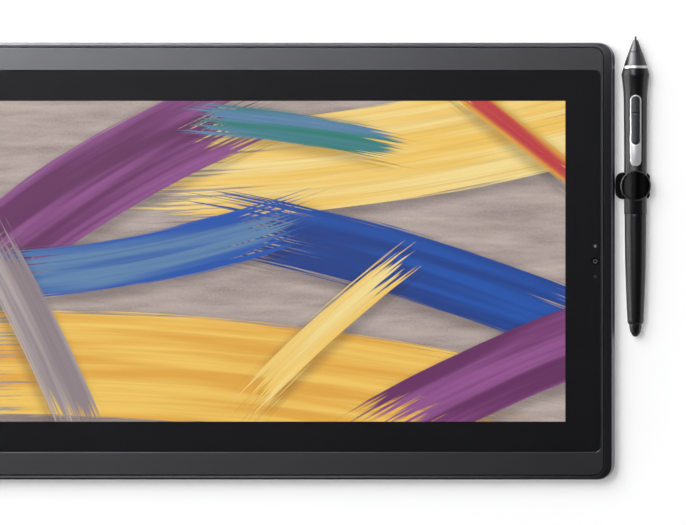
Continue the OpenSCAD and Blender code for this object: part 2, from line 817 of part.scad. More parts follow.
// One bracket carries the switches of both buttons and the pin of the rocker
module edge_key_bracket() color(bare_metal) {
    power_back = edge_flange_y - edge_flange_t - power_travel - stop_gap;
    volume_back = volume_pivot_y - 0.5 - volume_len / 2 * sin(rocker_tilt) - stop_gap;
    ear_low = port_z - edge_key_h / 2 - 0.2;
    ear_high = port_z + edge_key_h / 2 + 0.2;
    box(power_x - 3.5, volume_x + volume_len / 2, bracket_y - bracket_t, bracket_y,
        floor_z, bracket_top_z);
    box(power_x - 3, power_x + 3, bracket_y - bracket_t / 2, power_back, port_z - 1.4, port_z + 1.4);
    for (s = [-1, 1])
        translate([volume_x + s * volume_len * 0.34, 0, 0])
            box(-1.8, 1.8, bracket_y - bracket_t / 2, volume_back, port_z - 1.4, port_z + 1.4);
    for (z = [[ear_low - 0.6, ear_low], [ear_high, bracket_top_z]])
        box(volume_x - 2, volume_x + 2, bracket_y - bracket_t / 2, volume_pivot_y + 1, z[0], z[1]);
    peg_at([volume_x, volume_pivot_y], volume_pin_r, ear_low - 0.3, bracket_top_z);
}

// Cooling

module fan_outline(r) {
    circle(r);
    translate([-r, 0]) square([2 * r, fan_out_r + fan_neck]);
}

module fan_housing() color([0.18, 0.18, 0.19]) {
    in_r = fan_out_r - fan_wall;
    eye_r = rotor_r * 0.62;
    hub_r = rotor_r * 0.25;
    spoke_w = rotor_r * 0.1;
    translate([fan_x, fan_y, fan_z]) {
        difference() {
            linear_extrude(fan_top_z - fan_z) fan_outline(fan_out_r);
            translate([0, 0, fan_plate_t]) linear_extrude(fan_top_z - fan_z - 2 * fan_plate_t) {
                fan_outline(in_r);
                translate([-in_r, 0]) square([2 * in_r, fan_out_r + fan_neck + cut]);
            }
            difference() {
                translate([0, 0, -cut]) cylinder(r = eye_r, h = fan_plate_t + 2 * cut);
                translate([0, 0, -2 * cut]) cylinder(r = hub_r, h = fan_plate_t + 4 * cut);
                for (a = [0 : 120 : 240])
                    rotate(a) translate([0, -spoke_w / 2, -2 * cut])
                        cube([eye_r + 1, spoke_w, fan_plate_t + 4 * cut]);
            }
        }
        cylinder(r = axle_r, h = axle_top_z - fan_z);
    }
}

// Points along one side of a curved blade, from the hub to the tip
blade_steps = 6;
blade_sweep = 38;
function blade_edge(r0, r1, turn) = [
    for (i = [0 : blade_steps])
        let (u = i / blade_steps, r = r0 + (r1 - r0) * u, a = turn - blade_sweep * u * u)
        [r * cos(a), r * sin(a)]
];
function reversed(list) = [for (i = [len(list) - 1 : -1 : 0]) list[i]];

module fan_rotor() color([0.22, 0.22, 0.24]) {
    hub_r = rotor_r * 0.42;
    z0 = fan_z + fan_plate_t + 0.4;
    z1 = fan_top_z - fan_plate_t - 0.5;
    blade_turn = 5;
    translate([fan_x, fan_y, z0]) difference() {
        union() {
            cylinder(r = hub_r, h = z1 - z0);
            for (k = [0 : blade_count - 1])
                rotate(360 * k / blade_count) translate([0, 0, 0.2]) linear_extrude(z1 - z0 - 0.6)
                    polygon(concat(blade_edge(hub_r - 0.8, rotor_r, 0),
                                   reversed(blade_edge(hub_r - 0.8, rotor_r, blade_turn))));
        }
        translate([0, 0, -cut])
            cylinder(r = axle_r + pin_fit, h = axle_top_z - z0 + cut + 0.2);
    }
}

module heat_pipe() color(copper) {
    cold_x = cpu_w / 2 + cold_margin;
    cold_y = cpu_d / 2 + cold_margin;
    corner = [cpu_at[0] + pipe_bend, pipe_y - pipe_bend];
    near = pipe_bend - pipe_w / 2;
    far = pipe_bend + pipe_w / 2;
    box(cpu_at[0] - cold_x, cpu_at[0] + cold_x, cpu_at[1] - cold_y, cpu_at[1] + cold_y,
        pipe_z - cold_t, pipe_z);
    translate([corner[0], corner[1], pipe_z]) {
        box(-far, -near, cpu_at[1] - cpu_d / 2 - corner[1], 0, 0, pipe_t);
        rotate([0, 0, 90]) rotate_extrude(angle = 90) translate([near, 0]) square([pipe_w, pipe_t]);
        box(0, fan_x + fan_out_r - 1 - corner[0], near, far, 0, pipe_t);
    }
}

fin_pitch = 2.4;
fin_t = 0.4;
module fin_stack() color(copper) {
    w = 2 * fan_out_r - 2;
    count = floor((w - fin_t) / fin_pitch);
    translate([fan_x - w / 2, fin_y, 0]) {
        box(0, w, 0, fin_d, floor_z, floor_z + 0.5);
        box(0, w, 0, fin_d, pipe_z - 0.5, pipe_z);
        for (i = [0 : count])
            translate([i * (w - fin_t) / count, 0, floor_z]) cube([fin_t, fin_d, pipe_z - floor_z]);
    }
}

// Boards, battery and sound

notch_w = 12;
notch_d = 14;
notch_x1 = board_x1 - 2 * post_in;
chip = [10, 13, 1];
chip_gap = 3;
module main_board() color(board_green) {
    difference() {
        box(board_x0, board_x1, board_y0, board_y1, board_z, board_top_z);
        box(notch_x1 - notch_w, notch_x1, board_y0 - cut, board_y0 + notch_d,
            board_z - cut, board_top_z + cut);
    }
    translate([cpu_at[0], cpu_at[1], board_top_z])
        box(-cpu_w / 2, cpu_w / 2, -cpu_d / 2, cpu_d / 2, 0, cpu_t);
    for (i = [1, 2], j = [0, 1])
        translate([cpu_at[0] - cpu_w / 2, cpu_at[1], board_top_z])
            translate([-i * (chip[0] + chip_gap), -j * (chip[1] + chip_gap), 0]) cube(chip);
    translate([ssd_at[0], ssd_at[1], board_top_z]) {
        box(0, 6, 0, ssd_d, 0, ssd_lift);
        box(ssd_w - 4, ssd_w, 6, ssd_d - 6, 0, ssd_lift);
    }
}

module ssd_module() color(board_green) {
    z = board_top_z + ssd_lift;
    translate([ssd_at[0], ssd_at[1], z]) {
        box(0, ssd_w, 0, ssd_d, 0, 0.8);
        for (i = [0 : 2])
            box(ssd_w * (0.15 + 0.275 * i), ssd_w * (0.35 + 0.275 * i), chip_gap, ssd_d - chip_gap, 0.8, 2);
    }
}

module battery_cells() color([0.16, 0.17, 0.20])
    for (x = cell_xs)
        translate([x, (cell_y0 + cell_y1) / 2, floor_z])
            linear_extrude(battery_t) rounded_rect(cell_w, cell_y1 - cell_y0, 2);

module speakers() color([0.15, 0.15, 0.16])
    for (s = [-1, 1])
        translate([s * speaker_at[0], speaker_at[1], floor_z + grille_flange_t])
            difference() {
                linear_extrude(speaker_t) rounded_rect(speaker_w, speaker_d, 2);
                translate([0, 0, -cut]) linear_extrude(cut + 1.5) stadium(speaker_open_w, speaker_open_d);
            }

// Cameras

module front_camera() color(soft_black) {
    difference() {
        union() {
            box(panel_x1 + panel_gap + 2, cavity_x - fit, -4, 4, frame_top_z, ledge_z - fit);
            peg_at([camera_x, 0], camera_hole_r - fit, ledge_z - 2 * fit, seat_z - fit);
        }
        peg_at([camera_x, 0], lens_r + pin_fit, seat_z - 0.7, seat_z + cut);
    }
}

module camera_lens() color(bare_metal)
    translate([camera_x, 0, seat_z - 0.7]) difference() {
        cylinder(r = lens_r, h = 0.55);
        translate([0, 0, 0.55 + 1.5]) sphere(1.6);
    }

module status_lamp() color([0.8, 0.8, 0.8])
    peg_at([camera_x, camera_pitch], lamp_r, ledge_z, seat_z - pin_fit);

module light_sensor() color([0.3, 0.3, 0.32])
    peg_at([camera_x, -camera_pitch], lamp_r, ledge_z, seat_z - pin_fit);

module rear_camera() color(soft_black) {
    translate([rear_cam_at[0], rear_cam_at[1], 0]) {
        box(-5.5, 5.5, -5.5, 5.5, floor_z, floor_z + 3.4);
        difference() {
            peg_at([0, 0], rear_cam_r - 0.6, base_z + 0.8, floor_z + 1);
            peg_at([0, 0], 1.4, base_z, base_z + 1.3);
        }
    }
}

module rear_camera_window() color(glass_black)
    peg_at(rear_cam_at, rear_cam_r, base_z + 0.1, base_z + 0.7);

// Ports

tongue_w = 6.7;
tongue_t = 0.7;
module usb_ports() color(bare_metal)
    for (y = usb_ys) {
        back_x = port_face_x + usb_depth;
        difference() {
            along_x(port_face_x, back_x + 1.6, y, port_z) stadium(usb_w, usb_h);
            along_x(port_face_x - cut, back_x, y, port_z)
                stadium(usb_w - 2 * usb_wall, usb_h - 2 * usb_wall);
        }
        box(port_face_x + 0.8, back_x + 0.5, y - tongue_w / 2, y + tongue_w / 2,
            port_z - tongue_t / 2, port_z + tongue_t / 2);
    }

module headphone_jack() color([0.2, 0.2, 0.22])
    difference() {
        union() {
            along_x(port_face_x, jack_back_x, jack_y, jack_z) circle(jack_nose_r);
            box(-inner_x(jack_z - jack_half_h), jack_back_x, jack_y - jack_half_w, jack_y + jack_half_w,
                jack_z - jack_half_h, jack_z + jack_half_h);
        }
        along_x(port_face_x - cut, port_face_x + jack_len, jack_y, jack_z) circle(jack_r);
    }

module card_slot() color(bare_metal)
    difference() {
        along_x(-inner_x(port_z - usb_h / 2), -cavity_x + card_len, card_y, port_z)
            square([card_w + 2 * card_wall, usb_h], center = true);
        along_x(-half_w, -cavity_x + card_len - 2, card_y, port_z)
            square([card_w, card_h], center = true);
    }

module lock_sleeve() color(bare_metal)
    difference() {
        along_x(cavity_x + fit, half_w - 0.4, lock_y, lock_z)
            square([lock_w + 2 * lock_wall, lock_h + 2 * lock_wall], center = true);
        along_x(cavity_x - cut, half_w + cut, lock_y, lock_z) square([lock_w, lock_h], center = true);
    }

module port_board() color(board_green)
    difference() {
        box(-inner_x(port_board_z), -cavity_x + port_board_w, port_board_y0, port_board_y1,
            port_board_z, port_board_z + board_t);
        box(-half_w, jack_back_x + fit, jack_y - jack_half_w - fit, jack_y + jack_half_w + fit,
            port_board_z - cut, port_board_z + board_t + cut);
    }

// Underside

module rubber_feet() color(soft_black)
    for (p = foot_points)
        translate([p[0], p[1], 0]) linear_extrude(base_z + foot_sink - fit / 2) stadium(foot_len, foot_w);

drive_r = 0.9;
drive_depth = 0.6;
module case_screws() color([0.25, 0.25, 0.27])
    for (p = screw_points)
        translate([p[0], p[1], base_z + screw_sink]) difference() {
            union() {
                translate([0, 0, -screw_head_h]) cylinder(r = screw_head_r, h = screw_head_h);
                translate([0, 0, -screw_head_h / 2])
                    cylinder(r = screw_r, h = screw_len + screw_head_h / 2);
            }
            translate([0, 0, -screw_head_h - cut])
                cylinder(r = drive_r, h = cut + drive_depth, $fn = 6);
        }

// A flanged insert with a row of slots across its short side
module slotted_insert(w, d, slot_w, slot_len, pitch) {
    count = floor((w - slot_w - 2) / pitch);
    difference() {
        union() {
            translate([0, 0, base_z]) linear_extrude(floor_t + 0.1) children(0);
            translate([0, 0, floor_z]) linear_extrude(grille_flange_t) children(1);
        }
        for (i = [0 : count])
            translate([(i - count / 2) * pitch, 0, base_z - cut])
                linear_extrude(floor_t + grille_flange_t + 2 * cut) rotate(90) stadium(slot_len, slot_w);
    }
}

module intake_grille() color(shell_grey)
    translate([fan_x, fan_y, 0])
        slotted_insert(intake_w, intake_d, 1.8, intake_d - 6, 3.4) {
            rounded_rect(intake_w - 2 * fit, intake_d - 2 * fit, intake_r - fit);
            rounded_rect(intake_w + 2 * grille_flange, intake_d + 2 * grille_flange, intake_r);
        }

module speaker_grilles() color(shell_grey)
    for (s = [-1, 1])
        translate([s * speaker_at[0], speaker_at[1], 0])
            slotted_insert(speaker_open_w, speaker_open_d, 1.1, speaker_open_d - 1.4, 2.2) {
                stadium(speaker_open_w - 2 * fit, speaker_open_d - 2 * fit);
                stadium(speaker_open_w + 2 * grille_flange, speaker_open_d + 2 * grille_flange);
            }

exhaust_pitch = 3.6;
module exhaust_grille() color(shell_grey) {
    y0 = cavity_y + 0.8;
    y1 = y0 + 1.4;
    w = exhaust_w - 2 * fit;
    h = exhaust_z1 - exhaust_z0 - 2 * fit;
    count = floor((w - 4) / exhaust_pitch);
    along_y(y0, y1, fan_x, (exhaust_z0 + exhaust_z1) / 2) difference() {
        square([w, h], center = true);
        for (i = [0 : count])
            translate([(i - count / 2) * exhaust_pitch, 0]) rotate(90) stadium(h - 1.2, 2);
    }
}

// Pen holder

module holder_sockets() color(bare_metal)
    for (x = [[socket_x0 + fit, socket_x1], [-socket_x1, -socket_x0 - fit]])
        along_x(x[0], x[1], holder_y, pen_z) difference() {
            circle(peg_r + socket_wall);
            circle(peg_r + pin_fit);
        }

// A rod along the pen, as long as the front jaw is wide
module along_pen(r, z, past) {
    translate([pen_x, holder_y + jaw_r + past, z]) rotate([90, 0, 0])
        cylinder(r = r, h = 2 * (jaw_r + past));
}

// The front jaw: a round petal, bent over the pen like a bell and level at its edge
petal_steps = 36;
function petal_z(x) = clip_out_r - petal_drop * (1 - cos(180 * x / jaw_r)) / 2;
module holder_petal() {
    reach = jaw_r + cut;
    xs = [for (i = [0 : petal_steps]) reach * (2 * i / petal_steps - 1)];
    crown = [for (x = xs) [x, petal_z(x)]];
    under = [for (x = xs) [-x, petal_z(x) - jaw_t - petal_sink]];
    intersection() {
        peg_at([pen_x, holder_y], jaw_r, pen_z, pen_z + clip_out_r + cut);
        along_y(holder_y - reach, holder_y + reach, pen_x, pen_z) polygon(concat(crown, under));
    }
}

// The rear jaw follows the pen, and a spine on the tablet's side ties it to the petal
module holder_cradle() {
    intersection() {
        along_pen(clip_out_r, pen_z, 0);
        union() {
            translate([pen_x, holder_y, pen_z - clip_out_r - cut])
                linear_extrude(clip_out_r + cut - jaw_slit / 2)
                    rounded_rect(2 * clip_out_r, 2 * boss_r, rear_jaw_round);
            box(pen_x - clip_out_r, pen_x, holder_y - spine_half_d, holder_y + spine_half_d,
                pen_z - boss_low_h, pen_z + spine_top_h);
        }
    }
}

// Turned about the peg, with a rounded end towards the tablet and flats above and below
module holder_boss() {
    arc = [for (a = [0 : 15 : 90]) [boss_r - boss_round * (1 - sin(a)), boss_round * (1 - cos(a))]];
    back = pen_x - grip_r * 0.6 - boss_x0;
    intersection() {
        translate([boss_x0, holder_y, pen_z]) rotate([0, 90, 0])
            rotate_extrude() polygon(concat([[0, 0]], arc, [[boss_r, back], [0, back]]));
        box(boss_x0 - cut, pen_x, holder_y - boss_r - cut, holder_y + boss_r + cut,
            pen_z - boss_low_h, pen_z + boss_top_h);
    }
}

module pen_holder() color(soft_black)
    difference() {
        union() {
            holder_petal();
            holder_cradle();
            holder_boss();
        }
        along_pen(clip_bore_r, pen_z, cut);
        along_x(boss_x0 - cut, boss_x0 + peg_in_boss, holder_y, pen_z) circle(peg_r + pin_fit / 2);
    }

module holder_peg() color(bare_metal)
    along_x(half_w - peg_depth, boss_x0 + peg_in_boss - pin_fit, holder_y, pen_z) circle(peg_r);

// Pen

// Local frame of the pen: Z runs back from the tip, Y points up from the desk
module on_pen() {
    translate([pen_x, pen_tip_y, pen_z]) rotate([90, 0, 0]) children();
}

// A turned piece from its half outline of [radius, s] points
module turned(points) {
    rotate_extrude() polygon(points);
}

// A flat outline in the pen's X and s directions, pushed up through the top of the barrel
module through_top(s_mid, y0) {
    translate([0, y0, s_mid]) rotate([-90, 0, 0])
        linear_extrude(crest_r + cut - y0) rotate(90) children();
}

// Radius of the grip at s: a quarter sine from the crest to the waist, then a gentle draw to the straight
grip_front_r = cone_r + 0.4;
function grip_radius(s) =
    s < crest_s ? grip_front_r + (crest_r - grip_front_r) * (s - grip_s) / (crest_s - grip_s) :
    s < waist_s ? crest_r - (crest_r - waist_r) * sin(90 * (s - crest_s) / (waist_s - crest_s)) :
    s < straight_s ? waist_r + (grip_r - waist_r) * (s - waist_s) / (straight_s - waist_s) : grip_r;

grip_steps = 9;
function grip_edge(s0, s1, over) = [
    for (s = concat(
        [s0],
        [for (i = [0 : grip_steps]) crest_s + (waist_s - crest_s) * i / grip_steps],
        [straight_s, s1]))
        if (s >= s0 && s <= s1) [grip_radius(s) + over, s]
];

module pen_nib() color([0.12, 0.12, 0.13]) on_pen() {
    translate([0, 0, nib_r]) sphere(nib_r);
    translate([0, 0, nib_r]) cylinder(r = nib_r, h = nib_end_s - nib_r);
}

cone_tip_r = 1.15;
cone_bulge = 0.14;
cone_steps = 8;
cone_groove_at = 0.45;
module pen_cone() color([0.30, 0.30, 0.33]) on_pen() {
    edge = [for (i = [0 : cone_steps]) let (u = i / cone_steps)
        [cone_tip_r + (cone_r - cone_tip_r) * u + 4 * cone_bulge * u * (1 - u), cone_s + cone_len * u]];
    groove_s = cone_s + cone_len * cone_groove_at;
    groove_r = cone_tip_r + (cone_r - cone_tip_r) * cone_groove_at + cone_bulge;
    difference() {
        turned(concat([[0, cone_s]], edge, [[0, ring_s]]));
        translate([0, 0, cone_s - cut]) cylinder(r = nib_bore_r, h = cone_len + 2 * cut);
        translate([0, 0, nose_core_s - fit]) cylinder(r = nose_core_r + fit, h = 6);
        translate([0, 0, groove_s]) difference() {
            cylinder(r = groove_r + cut, h = 0.3);
            translate([0, 0, -cut]) cylinder(r = groove_r - 0.2, h = 0.3 + 2 * cut);
        }
    }
}

module pen_ring() color(bare_metal) on_pen()
    turned([
        [nose_core_r + fit, ring_s], [cone_r + 0.02, ring_s],
        [grip_front_r, grip_s], [nose_core_r + fit, grip_s]
    ]);

module pen_grip() color(soft_black) on_pen()
    difference() {
        turned(concat([[grip_bore_r, grip_s]], grip_edge(grip_s, seam_s, 0), [[grip_bore_r, seam_s]]));
        through_top(switch_s + switch_len / 2, 0)
            stadium(switch_len + 2 * pin_fit, switch_w + 2 * pin_fit);
    }

// The chassis inside the pen: coil nose, board carrier with the rocker pocket, tail
module pen_core() color([0.25, 0.26, 0.28]) on_pen()
    difference() {
        turned([
            [0, nose_core_s], [nose_core_r, nose_core_s], [nose_core_r, grip_s],
            [core_r, grip_s], [core_r, seam_s - 0.2], [tail_core_r, seam_s - 0.2],
            [tail_core_r, eraser_seat_s - 1], [0, eraser_seat_s - 1]
        ]);
        translate([0, 0, nose_core_s - cut])
            cylinder(r = nib_bore_r, h = nib_end_s + nib_travel + 0.2 - nose_core_s + cut);
        translate([-rocker_w / 2 - rocker_gap, 1.9, rocker_s - 1])
            cube([rocker_w + 2 * rocker_gap, core_r, rocker_len + 2]);
        translate([0, rocker_pin_y, rocker_mid_s]) rotate([0, 90, 0])
            cylinder(r = rocker_pin_r + 0.01, h = 2 * core_r, center = true);
    }

module pen_switch_frame() color(bare_metal) on_pen() {
    inner = grip_bore_r + pin_fit;
    difference() {
        intersection() {
            turned(concat(
                [[inner, switch_s - 1]],
                grip_edge(switch_s - 1, switch_end_s + 1, switch_proud),
                [[inner, switch_end_s + 1]]));
            through_top(switch_s + switch_len / 2, 0) stadium(switch_len, switch_w);
        }
        through_top(rocker_mid_s, 0) stadium(rocker_len + 2 * rocker_gap, rocker_w + 2 * rocker_gap);
    }
}

rocker_groove_at = 0.34;
module pen_rocker() color([0.22, 0.24, 0.27]) on_pen() {
    inner = grip_bore_r + 0.45;
    groove_s = rocker_s + rocker_len * rocker_groove_at;
    lug_w = rocker_w - 1;
    difference() {
        union() {
            intersection() {
                turned(concat(
                    [[inner, rocker_s - 1]],
                    grip_edge(rocker_s - 1, rocker_s + rocker_len + 1, rocker_proud),
                    [[inner, rocker_s + rocker_len + 1]]));
                through_top(rocker_mid_s, 0) stadium(rocker_len, rocker_w);
            }
            translate([0, rocker_pin_y, rocker_mid_s]) rotate([0, 90, 0])
                cylinder(r = 1.2, h = lug_w, center = true);
            translate([-lug_w / 2, rocker_pin_y, rocker_mid_s - 1])
                cube([lug_w, inner + 0.3 - rocker_pin_y, 2]);
        }
        translate([0, rocker_pin_y, rocker_mid_s]) rotate([0, 90, 0])
            cylinder(r = rocker_pin_r + pin_fit, h = lug_w + 2 * cut, center = true);
        translate([-rocker_w, grip_radius(groove_s) + rocker_proud - 0.22, groove_s - 0.25])
            cube([2 * rocker_w, 2, 0.5]);
    }
}

// The pin ends where the round of the core would let it out
module pen_rocker_pin() color(bare_metal) on_pen() {
    reach = sqrt(core_r * core_r - pow(rocker_pin_y + rocker_pin_r, 2));
    translate([0, rocker_pin_y, rocker_mid_s]) rotate([0, 90, 0])
        cylinder(r = rocker_pin_r, h = 2 * reach, center = true);
}

barrel_steps = 8;
module pen_barrel() color(soft_black) on_pen() {
    edge = [for (i = [0 : barrel_steps]) let (u = i / barrel_steps)
        [barrel_front_r - (barrel_front_r - barrel_rear_r) * u * u, seam_s + barrel_len * u]];
    end_s = barrel_end_s + collar_len;
    collar_r = eraser_r + fit + collar_wall;
    difference() {
        turned(concat([[0, seam_s]], edge, [[collar_r, end_s], [0, end_s]]));
        translate([0, 0, seam_s - cut]) cylinder(r = tail_core_r + pin_fit, h = barrel_len);
        translate([0, 0, eraser_seat_s]) cylinder(r = eraser_r + fit, h = end_s - eraser_seat_s + cut);
    }
}

dome_steps = 10;
eraser_taper = 0.2;
// A bullet: half an ellipse, drawn in a little towards its end
module pen_eraser() color([0.14, 0.14, 0.15]) on_pen() {
    front_s = eraser_seat_s + eraser_travel + stop_gap;
    dome_s = pen_len - eraser_dome;
    dome = [for (i = [0 : dome_steps]) let (t = 90 * i / dome_steps)
        [eraser_r * cos(t) * (1 - eraser_taper * sin(t)), dome_s + eraser_dome * sin(t)]];
    turned(concat([[0, front_s], [eraser_r, front_s]], dome));
}

rear_cover();
mid_frame();
front_bezel();
key_panel();
cover_glass();
glass_border();
lcd_panel();
backlight_unit();
digitizer_board();
express_key_1();
express_key_2();
express_key_3();
express_key_4();
express_key_5();
express_key_6();
touch_ring();
home_button();
key_board();
power_button();
volume_rocker();
edge_key_bracket();
fan_housing();
fan_rotor();
heat_pipe();
fin_stack();
main_board();
ssd_module();
battery_cells();
speakers();
front_camera();
camera_lens();
status_lamp();
light_sensor();
rear_camera();
rear_camera_window();
usb_ports();
headphone_jack();
card_slot();
lock_sleeve();
port_board();
rubber_feet();
case_screws();
intake_grille();
exhaust_grille();
speaker_grilles();
holder_sockets();
pen_holder();
holder_peg();
pen_nib();
pen_cone();
pen_ring();
pen_grip();
pen_core();
pen_switch_frame();
pen_rocker();
pen_rocker_pin();
pen_barrel();
pen_eraser();
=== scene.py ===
"""Looks of the pen tablet: materials, a picture on its screen, light and camera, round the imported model."""
import json
import math

import bmesh
import bpy
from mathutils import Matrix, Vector


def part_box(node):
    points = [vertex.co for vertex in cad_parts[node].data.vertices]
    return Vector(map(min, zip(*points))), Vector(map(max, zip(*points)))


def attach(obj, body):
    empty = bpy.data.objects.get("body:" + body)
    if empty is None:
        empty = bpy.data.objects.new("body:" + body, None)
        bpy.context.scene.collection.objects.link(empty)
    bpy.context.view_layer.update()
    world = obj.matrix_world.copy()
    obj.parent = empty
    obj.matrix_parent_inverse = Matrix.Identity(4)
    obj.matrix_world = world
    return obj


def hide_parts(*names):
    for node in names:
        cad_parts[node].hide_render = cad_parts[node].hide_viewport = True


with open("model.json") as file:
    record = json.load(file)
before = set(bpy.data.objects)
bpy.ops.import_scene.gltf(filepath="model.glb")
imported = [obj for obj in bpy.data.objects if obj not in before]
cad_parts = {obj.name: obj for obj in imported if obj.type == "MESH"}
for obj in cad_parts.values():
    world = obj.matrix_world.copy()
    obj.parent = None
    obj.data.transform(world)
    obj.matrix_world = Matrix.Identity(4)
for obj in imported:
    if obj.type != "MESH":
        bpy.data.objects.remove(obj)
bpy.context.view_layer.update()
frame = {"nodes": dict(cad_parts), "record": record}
nodes = frame["nodes"]
scene = bpy.context.scene
MM = 0.001

# The colour sockets of a mix node, by number, because its sockets for other values have the same names
MIX_FIRST = 6
MIX_SECOND = 7
MIX_RESULT = 2


def srgb(red, green, blue):
    """A colour given as it looks on a screen, 0 to 255, as the linear colour that shaders take."""
    def linear(value):
        value /= 255
        return value / 12.92 if value <= 0.04045 else ((value + 0.055) / 1.055) ** 2.4
    return (linear(red), linear(green), linear(blue), 1)


def scaled(colour, factor):
    """The same hue, lighter or darker."""
    return tuple(channel * factor for channel in colour[:3]) + (1,)


class Look:
    """A material with one Principled shader, and short calls for the nodes that feed it."""

    def __init__(self, name, **values):
        self.material = bpy.data.materials.new(name)
        self.material.use_nodes = True
        self.tree = self.material.node_tree
        self.tree.nodes.clear()
        self.out = self.add("ShaderNodeOutputMaterial")
        self.shader = self.add("ShaderNodeBsdfPrincipled")
        self.link(self.shader.outputs[0], self.out.inputs["Surface"])
        self.place = self.add("ShaderNodeTexCoord").outputs["Object"]
        for socket, value in values.items():
            self.shader.inputs[socket.replace("_", " ")].default_value = value

    def add(self, kind, **settings):
        node = self.tree.nodes.new(kind)
        for key, value in settings.items():
            setattr(node, key, value)
        return node

    def link(self, source, target):
        self.tree.links.new(source, target)

    def feed(self, socket, value):
        """Set an input, or link it when the value is another node's output."""
        if isinstance(value, bpy.types.NodeSocket):
            self.link(value, socket)
        else:
            socket.default_value = value

    def put(self, socket, value):
        """Feed one of the shader's own inputs."""
        self.feed(self.shader.inputs[socket], value)

    def source_of(self, socket):
        """The output that is linked to one of the shader's own inputs."""
        return self.shader.inputs[socket].links[0].from_socket

    def math(self, kind, first, second=0.0):
        node = self.add("ShaderNodeMath", operation=kind)
        self.feed(node.inputs[0], first)
        self.feed(node.inputs[1], second)
        return node.outputs[0]

    def vector(self, kind, first, second):
        node = self.add("ShaderNodeVectorMath", operation=kind)
        self.feed(node.inputs[0], first)
        self.feed(node.inputs[1], second)
        return node.outputs["Value" if kind == "DISTANCE" else "Vector"]

    def axes(self, source):
        """A place's three parts, under the names X, Y and Z."""
        node = self.add("ShaderNodeSeparateXYZ")
        self.link(source, node.inputs[0])
        return node.outputs

    def away_from(self, centre):
        """How far a point is from the upright line through the centre."""
        flat = self.vector("MULTIPLY", self.place, (1, 1, 0))
        return self.vector("DISTANCE", flat, (centre.x, centre.y, 0))

    def mapped(self, source, location=(0, 0, 0), turn=0.0, scale=(1, 1, 1)):
        node = self.add("ShaderNodeMapping")
        node.inputs["Location"].default_value = location
        node.inputs["Rotation"].default_value = (0, 0, turn)
        node.inputs["Scale"].default_value = scale
        self.link(source, node.inputs["Vector"])
        return node.outputs[0]

    def noise(self, scale, detail=2.0, source=None, rough=0.5, stretch=None):
        node = self.add("ShaderNodeTexNoise")
        node.inputs["Scale"].default_value = scale
        node.inputs["Detail"].default_value = detail
        node.inputs["Roughness"].default_value = rough
        source = source or self.place
        if stretch:
            source = self.mapped(source, scale=stretch)
        self.link(source, node.inputs["Vector"])
        return node.outputs["Fac"]

    def span(self, value, low, high, start=0.3, stop=0.7, smooth=False):
        """The value's range start to stop, spread over low to high."""
        node = self.add("ShaderNodeMapRange", interpolation_type="SMOOTHSTEP" if smooth else "LINEAR")
        self.link(value, node.inputs["Value"])
        for socket, number in (("From Min", start), ("From Max", stop), ("To Min", low), ("To Max", high)):
            node.inputs[socket].default_value = number
        return node.outputs[0]

    def mix(self, share, first, second, kind="MIX"):
        node = self.add("ShaderNodeMix", data_type="RGBA", blend_type=kind)
        self.feed(node.inputs["Factor"], share)
        self.feed(node.inputs[MIX_FIRST], first)
        self.feed(node.inputs[MIX_SECOND], second)
        return node.outputs[MIX_RESULT]

    def ramp(self, value, stops, mode="LINEAR"):
        node = self.add("ShaderNodeValToRGB")
        node.color_ramp.interpolation = mode
        points = node.color_ramp.elements
        while len(points) < len(stops):
            points.new(0.5)
        for point, (position, colour) in zip(points, stops):
            point.position = position
            point.color = colour
        self.link(value, node.inputs[0])
        return node.outputs["Color"]

    def bump(self, height, depth, strength=1.0):
        node = self.add("ShaderNodeBump")
        node.inputs["Strength"].default_value = strength
        node.inputs["Distance"].default_value = depth
        self.link(height, node.inputs["Height"])
        self.link(node.outputs[0], self.shader.inputs["Normal"])

    def see_through(self, share):
        """Mix the shader with clear space, so that only a share of the light meets the surface."""
        clear = self.add("ShaderNodeBsdfTransparent")
        mixer = self.add("ShaderNodeMixShader")
        mixer.inputs[0].default_value = share
        self.link(clear.outputs[0], mixer.inputs[1])
        self.link(self.shader.outputs[0], mixer.inputs[2])
        self.link(mixer.outputs[0], self.out.inputs["Surface"])


CLOUD_SCALE = 28
GRAIN_IN_TONE = 0.35


def finish_of(name, colour, rough, grain, depth, vary=0.12, swing=0.06, stretch=None, **values):
    """A moulded, painted or metal surface: cloudy tone, uneven gloss and a fine grain."""
    look = Look(name, **values)
    clouds = look.noise(CLOUD_SCALE, detail=3)
    fine = look.noise(grain, detail=3, stretch=stretch)
    tone = look.span(look.mix(GRAIN_IN_TONE, clouds, fine), 0, 1)
    look.put("Base Color", look.mix(tone, scaled(colour, 1 - vary), scaled(colour, 1 + vary)))
    look.put("Roughness", look.span(fine, rough - swing, rough + swing))
    look.bump(fine, depth)
    return look


# The groove across the pen's switch: its place as a share of the switch's length from the nib's end, its half
# width, how far it fades out, how many times as bright as the switch it is, which is painted shade, and how
# many times as rough
GROOVE_PLACE = 0.34
GROOVE_HALF = 0.2 * MM
GROOVE_FADE = 1.8
GROOVE_SHADE = 0.1
GROOVE_ROUGH = 2.2


def shade_and_dull_groove(look):
    """Make the pen's switch dull in the groove between its two halves, and darken it there with painted
    shade.
    """
    low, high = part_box("pen_rocker")
    groove_y = high.y - GROOVE_PLACE * (high.y - low.y)
    away = look.math("ABSOLUTE", look.math("SUBTRACT", look.axes(look.place)["Y"], groove_y))
    # Painted shade: the switch's colour is darkened in the groove
    tone = look.span(away, GROOVE_SHADE, 1, GROOVE_HALF, GROOVE_FADE * GROOVE_HALF)
    rough = look.span(away, GROOVE_ROUGH, 1, GROOVE_HALF, GROOVE_FADE * GROOVE_HALF)
    look.put("Base Color", look.mix(1, look.source_of("Base Color"), tone, "MULTIPLY"))
    look.put("Roughness", look.math("MULTIPLY", look.source_of("Roughness"), rough))


